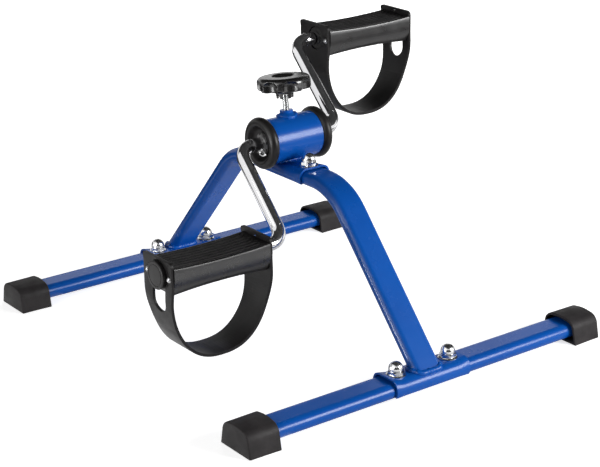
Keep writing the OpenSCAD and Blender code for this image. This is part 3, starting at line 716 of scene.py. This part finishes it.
# Pedal: ribbed shell over a core of end walls, webs and axle tube
pedal = {
    "length": 100, "top": 10.5, "dish": 1.8, "dishFrom": 5.5, "dishSpan": 3, "waist": 2.2, "waistFrom": -9,
    "waistSpan": 6, "grooves": 7, "pitch": 37 / 7, "grooveStop": 4.5, "grooveRunOut": 2.5,
    "ribFrom": 8.4, "ribHalf": 19.4, "treadFrom": 5.6, "treadHalf": 19.2,
    "ribWall": [(2.35, 0), (2.05, -0.1), (1.8, -0.38), (1.65, -0.8), (1.4, -2)],
    "side": [(15.5, -16), (17.6, -13.2), (19.4, -9.8), (20.7, -6.2), (21.3, -3), (21.5, 0.5), (21.5, 5),
             (21.5, 8.6), (21.2, 9.7), (20.5, 10.3), (19.5, 10.5)],
    "inner": [(12.6, -16), (14.8, -13), (16.5, -9.5), (17.7, -6), (18.4, -2), (18.5, 3), (18.2, 4.6),
              (17.2, 5.2)],
    "fromEnd": [0, 0.6, 2.4, 4, 5, 6, 7.5, 12, 18, 25, 33, 42],
}
core = {
    "bore": 17, "tubeD": 23, "endGap": 0.05, "endWall": 4, "endBottom": -15.2, "webT": 2.5,
    "webBottom": -12.5, "webX": (-25, 0, 25), "grow": 0.4, "top": (17.3, 5.6), "cutReach": 60,
    "deckHalf": 20, "deckFrom": 5.4, "deckTo": 20,
}


def pedalShell(look):
    half, top = look["length"] / 2, look["top"]
    ribs = []
    for i in range(look["grooves"]):
        y = ((look["grooves"] - 1) / 2 - i) * look["pitch"]
        ribs += [(y + dy, top + dz) for dy, dz in mirrored(look["ribWall"])]
    outer = look["side"] + ribs + [(-y, z) for y, z in look["side"][::-1]]
    ends = [half - x for x in look["fromEnd"]]
    stations = [-x for x in ends] + ends[::-1]
    outline = [(stations[0], y, z) for y, z in outer + mirrored(look["inner"])[::-1]]
    obj = drawBlock("pedalShell", outline, *[(b - a, 0, 0) for a, b in zip(stations, stations[1:])])

    # Grooves run out before the ends, the deck dips and the lower edge rises towards the middle
    def dish(x, y, z):
        bow = 1 - (x / half) ** 2
        if z > look["ribFrom"] and abs(y) < look["ribHalf"]:
            z = top - (top - z) * ease((half - look["grooveStop"] - abs(x)) / look["grooveRunOut"])
        dip = look["dish"] * bow * ease((z - look["dishFrom"]) / look["dishSpan"])
        rise = look["waist"] * bow * ease((look["waistFrom"] - z) / look["waistSpan"])
        return x, y, z - dip + rise

    reshape(obj, dish)
    return smoothBy(obj, 30)


# The ribbed deck is duller than the sides from wear, and a little darker as painted shade
def dullShadedTread(obj, place):
    obj.data.materials.append(finish["pedalTread"])
    for face in obj.data.polygons:
        spot = face.center / mm - Vector(place)
        if spot.z > pedal["treadFrom"] and abs(spot.y) < pedal["treadHalf"]:
            face.material_index = 1


def pedalPlate(look, x, thick, bottom):
    grown = [(y + look["grow"], max(z, bottom)) for y, z in pedal["inner"][:-1]] + [look["top"]]
    last = len(grown) - 1
    side = [p for i, p in enumerate(grown) if i == last or grown[i + 1][1] > p[1] + near]
    return drawBlock("pedalPlate", [(x, y, z) for y, z in mirrored(side)], (thick, 0, 0))


def barAlongX(name, r, reach):
    return putAt(lathe(name, [(0, -reach), (r, -reach), (r, reach), (0, reach)], 64), turn(90, "Y"))


def pedalCore(look):
    reach, wall, web = pedal["length"] / 2 - look["endGap"], look["endWall"], look["webT"]
    obj = barAlongX("pedalCore", look["tubeD"] / 2, reach)
    plates = [(x, wall, look["endBottom"]) for x in (-reach, reach - wall)]
    plates += [(x - web / 2, web, look["webBottom"]) for x in look["webX"]]
    for x, thick, bottom in plates:
        combine(obj, pedalPlate(look, x, thick, bottom), "UNION")
    cut, side, low, high = (look[key] for key in ("cutReach", "deckHalf", "deckFrom", "deckTo"))
    combine(obj, barAlongX("pedalBore", look["bore"] / 2, cut))
    # The deck of the shell takes the tube's place up there
    corners = ((-side, low), (side, low), (side, high), (-side, high))
    combine(obj, drawBlock("pedalDeck", [(-cut, y, z) for y, z in corners], (2 * cut, 0, 0)))
    return smoothBy(obj, 30)


# Flanged bearings at both ends of the pedal, slim inside it so that they stay under the grooves
bearing = {"flangeD": 22, "flangeT": 1.5, "sleeveD": 14.2, "sleeve": 26, "boreD": 13, "round": 0.3}


def makeBearing(look):
    flange, sleeve, bore = (look[key] / 2 for key in ("flangeD", "sleeveD", "boreD"))
    low, top, e = -look["sleeve"], look["flangeT"], look["round"]
    outside = [(sleeve - e, low), (sleeve, low + e), (sleeve, 0), (flange, 0), (flange, top - e)]
    inside = [(flange - e, top), (bore + e, top), (bore, top - e), (bore, low)]
    return smoothBy(lathe("bearing", [(bore, low)] + outside + inside), 40)


# Round cap over the rod's end, and the rivets that hold the strap; rims are given from the outer radius
endCap = {
    "d": 26, "depth": 6.5, "wall": 1.4, "round": 1.1, "mouthIn": 0.2, "mouthUp": 0.3, "innerRound": 1,
    "face": [(-2.6, 0), (-2.9, -0.35), (-3.4, -0.35), (-3.7, 0), (-8, 0.15)], "dome": 0.2,
}
rivet = {
    "y": 17, "headD": 5.4, "headH": 1.9, "shankD": 4, "shank": 4, "strapT": 2.7, "flatIn": 1.6,
    "rim": [(-0.1, 0), (0, 0.3), (-0.25, 0.85), (-0.8, 1.45)], "dimple": [(0.8, 0), (0.5, -0.3), (0, -0.35)],
}


def makeEndCap(look):
    r, h, w, e = look["d"] / 2, look["depth"], look["wall"], look["round"]
    mouth, soft = (r - look["mouthIn"], 0), look["innerRound"]
    outside = [mouth, (r, look["mouthUp"]), (r, h - e)] + arcPoints(r - e, h - e, e, 15, 90, 5)
    face = [(r + inward, h + up) for inward, up in look["face"]] + [(0, h + look["dome"])]
    inside = [(0, h - w), (r - w - soft, h - w), (r - w, h - w - soft), (r - w, 0), mouth]
    return smoothBy(lathe("endCap", outside + face + inside, 64))


def makeRivet(look):
    r, h, shank = look["headD"] / 2, look["headH"], look["shankD"] / 2
    low = -look["shank"] - look["strapT"]
    head = [(r + inward, up) for inward, up in look["rim"]] + [(r - look["flatIn"], h)]
    dimple = [(out, h + up) for out, up in look["dimple"]]
    return smoothBy(lathe("rivet", [(0, low), (shank, low), (shank, 0)] + head + dimple, 32), 40)


# Foot strap: cut flat with its window and rod hole, thickened, then bent round the loop
strap = {
    "a": 51.35, "depth": 82.15, "power": 2.4, "bulge": 2, "bulgeTop": -4, "bulgeFull": -30, "lip": 15,
    "lipSteps": 6, "loopSteps": 160, "t": 2.7, "w": 44.5, "loopW": 33.6, "taperTop": -8, "taperBottom": -54,
    "shiftY": 1.8, "corner": 4, "edgeSteps": 90, "horn": 1.4, "hornReach": 7, "hornFrom": 12, "hornSpan": 9,
    "windowR": 13.3, "slotR": 10, "slotZ": -23.3, "rodHoleR": 11.6, "edge": 0.65, "cutStep": 2.6,
}


# The loop's middle line as (x, z), and the length run at each point
def strapPath(look):
    a, lip, steps, count = look["a"], look["lip"], look["lipSteps"], look["loopSteps"]
    bulgeTop, power = look["bulgeTop"], 2 / look["power"]
    points = [(a, lip * (1 - i / steps)) for i in range(steps)]
    for i in range(count + 1):
        angle = math.pi * i / count
        side = math.cos(angle)
        z = -look["depth"] * max(math.sin(angle), 0) ** power
        reach = a + look["bulge"] * ease((bulgeTop - z) / (bulgeTop - look["bulgeFull"]))
        points.append((math.copysign(reach * abs(side) ** power, side), z))
    points += [(-a, lip * (i + 1) / steps) for i in range(steps)]
    lengths = [0]
    for p, q in zip(points, points[1:]):
        lengths.append(lengths[-1] + math.dist(p, q))
    return points, lengths


# Place and outward direction at a length along the path
def alongPath(points, lengths, s):
    s = min(max(s, 0), lengths[-1])
    i = next(k for k in range(len(lengths) - 1) if lengths[k + 1] >= s - 1e-9)
    share = (s - lengths[i]) / (lengths[i + 1] - lengths[i])
    a, b = points[i], points[i + 1]
    place = (a[0] + (b[0] - a[0]) * share, a[1] + (b[1] - a[1]) * share)
    before, after = points[max(i - 1, 0)], points[min(i + 2, len(points) - 1)]
    way = Vector((after[0] - before[0], after[1] - before[1])).normalized()
    return place, (-way.y, way.x)


def makeStrap(look):
    points, lengths = strapPath(look)
    total, lip = lengths[-1], look["lip"]

    # One long edge; the end plates sit a little off the middle, towards the rear
    def edgeLine(side):
        def reach(s):
            z = alongPath(points, lengths, s)[0][1]
            taper = ease((z - look["taperTop"]) / (look["taperBottom"] - look["taperTop"]))
            plate = look["w"] / 2 + side * look["shiftY"]
            return plate + (look["loopW"] / 2 - plate) * taper

        r, count = look["corner"], look["edgeSteps"]
        steps = [r + (total - 2 * r) * i / count for i in range(count + 1)]
        straight = [(s, reach(s)) for s in steps]
        first = arcPoints(r, reach(0) - r, r, 180, 90, 6)
        last = arcPoints(total - r, reach(total) - r, r, 90, 0, 6)
        return [(s, side * v) for s, v in first[:-1] + straight + last[1:]]

    outline = edgeLine(1) + edgeLine(-1)[::-1]
    slotEnd = next(run for p, run in zip(points, lengths) if p[1] <= look["slotZ"])
    opening = math.degrees(math.asin(look["slotR"] / look["windowR"]))
    window = arcPoints(lip, 0, look["windowR"], opening, 360 - opening, 36)
    window += arcPoints(slotEnd, 0, look["slotR"], -90, 90, 16)
    rodHole = arcPoints(total - lip, 0, look["rodHoleR"], 0, 350, 35)
    loops = []
    for loop in (outline, window, rodHole):
        loops.append(drawLine("strapLoop", [(s, v, 0) for s, v in loop + [loop[0]]]))
    obj = joinAll("strap", loops)
    setMode("EDIT")
    selectAll()
    mergeDoubles()
    bpy.ops.mesh.fill(use_beauty=True)
    cuts = int(total / look["cutStep"])
    for i in range(1, cuts):
        selectAll()
        bpy.ops.mesh.bisect(plane_co=(total * i / cuts * mm, 0, 0), plane_no=(1, 0, 0))
    selectAll()
    bpy.ops.mesh.normals_make_consistent(inside=False)
    setMode("OBJECT")
    finishWith(obj, "SOLIDIFY", thickness=look["t"] * mm, offset=0)
    roundSharp(obj, look["edge"])

    # Round the loop, with a small horn at the rear corner of each end
    def bend(s, v, w):
        (x, z), (nx, nz) = alongPath(points, lengths, s)
        fromEnd = min(s, total - s)
        horn = look["horn"] * ease(1 - fromEnd / look["hornReach"])
        return x + nx * w, v + horn * ease((v - look["hornFrom"]) / look["hornSpan"]), z + nz * w

    reshape(obj, bend)
    startEdit(obj)
    mergeAndTurnOut()
    return smoothBy(obj)


shellModel = pedalShell(pedal)
coreModel = pedalCore(core)
endCapModel = makeEndCap(endCap)
rivetModel = makeRivet(rivet)
strapModel = makeStrap(strap)
bearingModel = makeBearing(bearing)
for which, side in endSides:
    body = f"{which}_pedal"
    here = shift(*pedalPlace[which]) @ flipX(side)
    end = pedal["length"] / 2
    one = copyAt(shellModel, f"pedal_shell_{which}", here)
    dress(one, "pedalPlastic", body, "pedal_plastic", f"pedal_{which}")
    dullShadedTread(one, pedalPlace[which])
    one = copyAt(coreModel, f"pedal_core_{which}", here)
    dress(one, "pedalPlastic", body, "pedal_plastic", f"pedal_{which}")
    one = copyAt(endCapModel, f"pedal_end_cap_{which}", here @ shift(end, 0, 0) @ turn(90, "Y"))
    dress(one, "capPlastic", body, "cap_plastic", f"pedal_cap_{which}")
    one = copyAt(strapModel, f"foot_strap_{which}", here)
    dress(one, "strapRubber", body, "strap_rubber", f"strap_{which}")
    rivets, bearings = [], []
    for way in (-1, 1):
        outward = turn(way * 90, "Y")
        bearings.append(copyAt(bearingModel, "oneBearing", here @ shift(way * end, 0, 0) @ outward))
        for y in (-rivet["y"], rivet["y"]):
            place = here @ shift(way * (end + rivet["strapT"]), y, 0) @ outward
            rivets.append(copyAt(rivetModel, "oneRivet", place))
    dress(joinAll(f"strap_rivets_{which}", rivets), "zincPlate", body, "zinc", f"strap_studs_{which}")
    dress(joinAll(f"pedal_bearings_{which}", bearings), "bushNylon", body, "nylon", f"pedal_bushes_{which}")
removeAll(shellModel, coreModel, endCapModel, rivetModel, strapModel, bearingModel)
print("pedals made")

# Knob: a domed disc with round-topped finger scallops, open below, and a slotted collar
knob = {
    "d": 50.6, "h": 13, "crown": 5, "footRound": 3, "footFrom": -70, "dishD": 21, "dishFloor": -1.98,
    "dish": [(1.6, 0.3), (0.4, 0), (-0.8, -1.32), (-2.4, -2.2)], "scallops": 8, "scallopD": 17.5,
    "scallopDepth": 5.4, "roof": 10.8, "roofRound": 5, "turn": 202.8, "rise": 45.6, "collarD": 16,
    "collarH": 8, "collarWall": 2.2, "collarEdge": 0.4, "collarFlare": 0.8, "collarSink": 0.5, "slot": 4.6,
    "slotLength": 40, "slots": 3, "voxel": 0.36, "smooth": 3,
}


def makeScallop(look):
    half, top, r = look["scallopD"] / 2, look["roof"], look["roofRound"]
    roof = arcPoints(half - r, top - r, r, 0, 90, 12)
    return lathe("scallop", [(0, -past), (half, -past)] + roof + [(0, top)], 56)


def makeCollar(look):
    r, low, edge, top = look["collarD"] / 2, -look["collarH"], look["collarEdge"], look["collarSink"]
    inner = r - look["collarWall"]
    obj = lathe("knobCollar", [(inner, low), (r - edge, low), (r, low + edge), (r + look["collarFlare"], top),
                               (inner, top), (inner, low)], 64)
    for i in range(look["slots"]):
        clearSelection()
        bpy.ops.mesh.primitive_cube_add(size=mm, location=(0, 0, low * mm))
        slot = bpy.context.object
        slot.scale = (look["slotLength"], look["slot"], 2 * look["slot"])
        slot.rotation_euler = (0, 0, math.pi * i / look["slots"])
        bpy.ops.object.transform_apply()
        combine(obj, slot)
    return obj


def makeKnob(look):
    r, h, c, foot = look["d"] / 2, look["h"], look["crown"], look["footRound"]
    base = [(0, 0), (r - foot, 0)] + arcPoints(r - foot, foot, foot, look["footFrom"], 0, 4)
    crown = arcPoints(r - c, h - c, c, 0, 90, 8)
    dish = [(look["dishD"] / 2 + out, h + up) for out, up in look["dish"]] + [(0, h + look["dishFloor"])]
    obj = lathe("knobBody", base + crown + dish, 96)
    for i in range(look["scallops"]):
        around = turn(look["turn"] + 360 * i / look["scallops"], "Z")
        outward = r + look["scallopD"] / 2 - look["scallopDepth"]
        combine(obj, putAt(makeScallop(look), around @ shift(outward, 0, 0)))
    combine(obj, makeCollar(look), "UNION")
    melt(obj, look["voxel"], look["smooth"])
    return obj


one = putAt(named(makeKnob(knob), "tension_knob_grip"), onScrew(knob["rise"]))
dress(one, "knobPlastic", "tension_knob", "knob_plastic", "knob")

# Tension screw; one turn of its thread as shares of the depth and of the pitch
screw = {
    "d": 6, "pitch": 1, "depth": 0.5, "from": 15.65, "to": 51.5, "tipD": 4, "tip": 2, "coreGrow": 0.02,
    "coreFoot": 0.3, "thread": [(0, 0), (1, 0.40), (1, 0.52), (0, 0.92), (0, 1)], "sides": 28,
}


def makeScrew(look):
    root, pitch = look["d"] / 2 - look["depth"], look["pitch"]
    turns = int((look["to"] - look["from"]) / pitch)
    line = [(root + look["depth"] * out, 0, pitch * up) for out, up in look["thread"]]
    obj = drawLine("screwThread", line)
    setMode("OBJECT")
    finishWith(obj, "SCREW", axis="Z", angle=math.tau, screw_offset=pitch * mm, iterations=turns,
               steps=look["sides"], render_steps=look["sides"], use_merge_vertices=True,
               merge_threshold=near * mm)
    startEdit(obj)
    selectAll()
    bpy.ops.mesh.fill_holes(sides=0)
    mergeAndTurnOut()
    tip, low, coreR = look["tipD"] / 2, -look["tip"], root + look["coreGrow"]
    top = turns * pitch
    shaft = lathe("screwCore", [(0, low), (tip, low), (tip, 0), (coreR, look["coreFoot"]), (coreR, top),
                                (0, top)], 32)
    return joinAll("tension_screw_thread", [shaft, obj])


one = smoothBy(putAt(makeScrew(screw), onScrew(screw["from"])), 40)
dress(one, "brightNut", "tension_knob", "chrome", "tension_screw")
print("knob and screw made")

# Camera at the photograph's viewing angle
cameraLook = {
    "place": (-895.165, -1234.764, 651.235), "turn": -36.292, "tilt": 20.263, "roll": -0.818, "lens": 101.955,
    "sensor": 36,
}


def addCamera(look):
    turned, tilted, rolled = (math.radians(look[key]) for key in ("turn", "tilt", "roll"))
    level = math.cos(tilted)
    back = Vector((math.sin(turned) * level, -math.cos(turned) * level, math.sin(tilted)))
    right = Vector((math.cos(turned), math.sin(turned), 0))
    up = back.cross(right)
    rightRolled = right * math.cos(rolled) + up * math.sin(rolled)
    upRolled = up * math.cos(rolled) - right * math.sin(rolled)
    clearSelection()
    bpy.ops.object.camera_add(location=Vector(look["place"]) * mm)
    camera = bpy.context.object
    camera.rotation_euler = Matrix((rightRolled, upRolled, back)).transposed().to_euler()
    camera.data.lens = look["lens"]
    camera.data.sensor_width = look["sensor"]
    bpy.context.scene.camera = camera


addCamera(cameraLook)

# Studio in metres: white floor and backdrop, soft lamps, and cards that only reflections see: the dark cards
# paint dark reflections, the grey sheet a painted shadow under the object, and the glowing card a painted
# highlight.
# A card with no aim lies level
studio = {
    "floorSize": 12, "floorZ": -0.0003, "floorGrey": 0.80, "floorGlow": 0.74, "fill": 0.09, "cardGrey": 0.03,
    "cardRough": 0.9,
    "lamps": [
        {"name": "overhead", "place": (-0.2, 0.4, 2.0), "aim": (0, 0, 0.1), "size": 1.8, "power": 1},
        {"name": "backFill", "place": (1.15, 1.6, 0.6), "aim": (0, 0, 0.12), "size": 0.9, "power": 22,
         "glossy": False},
        {"name": "keyLeft", "place": (-1.7, -0.4, 0.8), "aim": (0, 0, 0.12), "size": 0.9, "power": 10},
        {"name": "frontKey", "place": (1.05, -1.7, 0.78), "aim": (0, 0, 0.15), "size": 0.85, "power": 42},
    ],
    "cards": [
        {"name": "darkCeiling", "place": (0.85, 0.05, 1.15), "size": (3.0, 2.5)},
        {"name": "darkSide", "place": (1.5, 0.25, 0.6), "aim": (0, 0.1, 0.3), "size": (1.1, 0.9)},
        {"name": "darkBack", "place": (0.1, 1.0, 0.1), "aim": (0.1, 0, 0.1), "size": (1.8, 0.2)},
        {"name": "darkWall", "place": (0.08, 0.95, 1.03), "aim": (0.08, 0, 1.03), "size": (1.56, 0.96)},
        {"name": "darkLeft", "place": (-1.94, -1.41, 0.75), "aim": (0, 0, 0.3), "size": (1.6, 1.5)},
        {"name": "darkApron", "place": (-0.2, -1.2, 0.002), "size": (2.8, 1.5)},
        {"name": "darkFront", "place": (-0.55, -2.55, 0.75), "aim": (0, 0, 0.3), "size": (2.4, 1.6)},
        # Painted shadow: a grey sheet under the object, seen only in reflections, for its shade on the floor
        {"name": "greySheet", "place": (0.25, 0.05, 0.0015), "size": (0.8, 0.66), "grey": 0.9},
        {"name": "darkSheet", "place": (0.1, 0.68, 0.002), "size": (1.8, 0.6)},
        {"name": "darkRight", "place": (0.68, -0.52, 0.0025), "size": (0.8, 0.5)},
        # Painted highlight: a glowing card, no lamp, that only reflections see
        {"name": "leftGlow", "place": (-1.4, 0.2, 0.14), "aim": (0, 0, 0.14), "size": (0.6, 0.22),
         "glow": 26},
    ],
}


def grey(level):
    return (level, level, level, 1)


def withNoNodes(owner):
    owner.use_nodes = True
    owner.node_tree.nodes.clear()
    return owner


def addMath(owner, operation):
    node = addNode(owner, "ShaderNodeMath")
    node.operation = operation
    return node


# 1 for the rays of the camera, of reflections and through glass, else 0
def seenRays(owner):
    path = addNode(owner, "ShaderNodeLightPath")
    first = addMath(owner, "MAXIMUM")
    second = addMath(owner, "MAXIMUM")
    link(owner, path, "Is Camera Ray", first, 0)
    link(owner, path, "Is Glossy Ray", first, 1)
    link(owner, first, 0, second, 0)
    link(owner, path, "Is Transmission Ray", second, 1)
    return second


def aimAt(obj, place, aim):
    obj.location = place
    obj.rotation_euler = (Vector(aim) - Vector(place)).to_track_quat("-Z", "Y").to_euler()


def addFloor(look):
    clearSelection()
    bpy.ops.mesh.primitive_plane_add(size=look["floorSize"], location=(0, 0, look["floorZ"]))
    floor = named(bpy.context.object, "floor")
    material = withNoNodes(bpy.data.materials.new("floorWhite"))
    plain = addNode(material, "ShaderNodeBsdfDiffuse", Color=grey(look["floorGrey"]))
    glow = addNode(material, "ShaderNodeEmission")
    level = addMath(material, "MULTIPLY")
    level.inputs[1].default_value = look["floorGlow"]
    link(material, seenRays(material), 0, level, 0)
    link(material, level, 0, glow, "Strength")
    both = addNode(material, "ShaderNodeAddShader")
    out = addNode(material, "ShaderNodeOutputMaterial")
    link(material, plain, 0, both, 0)
    link(material, glow, 0, both, 1)
    link(material, both, 0, out, "Surface")
    floor.data.materials.append(material)


def addWorld(look):
    world = withNoNodes(bpy.data.worlds.new("studioAir"))
    bpy.context.scene.world = world
    fill = addNode(world, "ShaderNodeBackground", Color=grey(1), Strength=look["fill"])
    white = addNode(world, "ShaderNodeBackground", Color=grey(1))
    mix = addNode(world, "ShaderNodeMixShader")
    out = addNode(world, "ShaderNodeOutputWorld")
    link(world, seenRays(world), 0, mix, "Fac")
    link(world, fill, 0, mix, 1)
    link(world, white, 0, mix, 2)
    link(world, mix, 0, out, "Surface")


def addLamp(lamp):
    clearSelection()
    bpy.ops.object.light_add(type="AREA")
    light = named(bpy.context.object, lamp["name"])
    light.data.size = lamp["size"]
    light.data.energy = lamp["power"]
    light.visible_glossy = lamp.get("glossy", True)
    aimAt(light, lamp["place"], lamp["aim"])


# A card seen only in reflections: a dark one paints a dark reflection, a glowing one a painted highlight
def addCard(card, look):
    clearSelection()
    bpy.ops.mesh.primitive_plane_add(size=1)
    obj = named(bpy.context.object, card["name"])
    x, y, _ = card["place"]
    aimAt(obj, card["place"], card.get("aim", (x, y, -1)))
    obj.scale = (*card["size"], 1)
    material = bpy.data.materials.new("studioCard")
    material.use_nodes = True
    shader = material.node_tree.nodes["Principled BSDF"]
    shader.inputs["Base Color"].default_value = grey(card.get("grey", look["cardGrey"]))
    shader.inputs["Roughness"].default_value = look["cardRough"]
    shader.inputs["Emission Color"].default_value = grey(1)
    shader.inputs["Emission Strength"].default_value = card.get("glow", 0)
    obj.data.materials.append(material)
    for ray in ("camera", "diffuse", "shadow", "transmission"):
        setattr(obj, f"visible_{ray}", False)


addWorld(studio)
addFloor(studio)
for oneLamp in studio["lamps"]:
    addLamp(oneLamp)
for oneCard in studio["cards"]:
    addCard(oneCard, studio)
bpy.context.scene.view_settings.view_transform = "Standard"
print("studio ready")
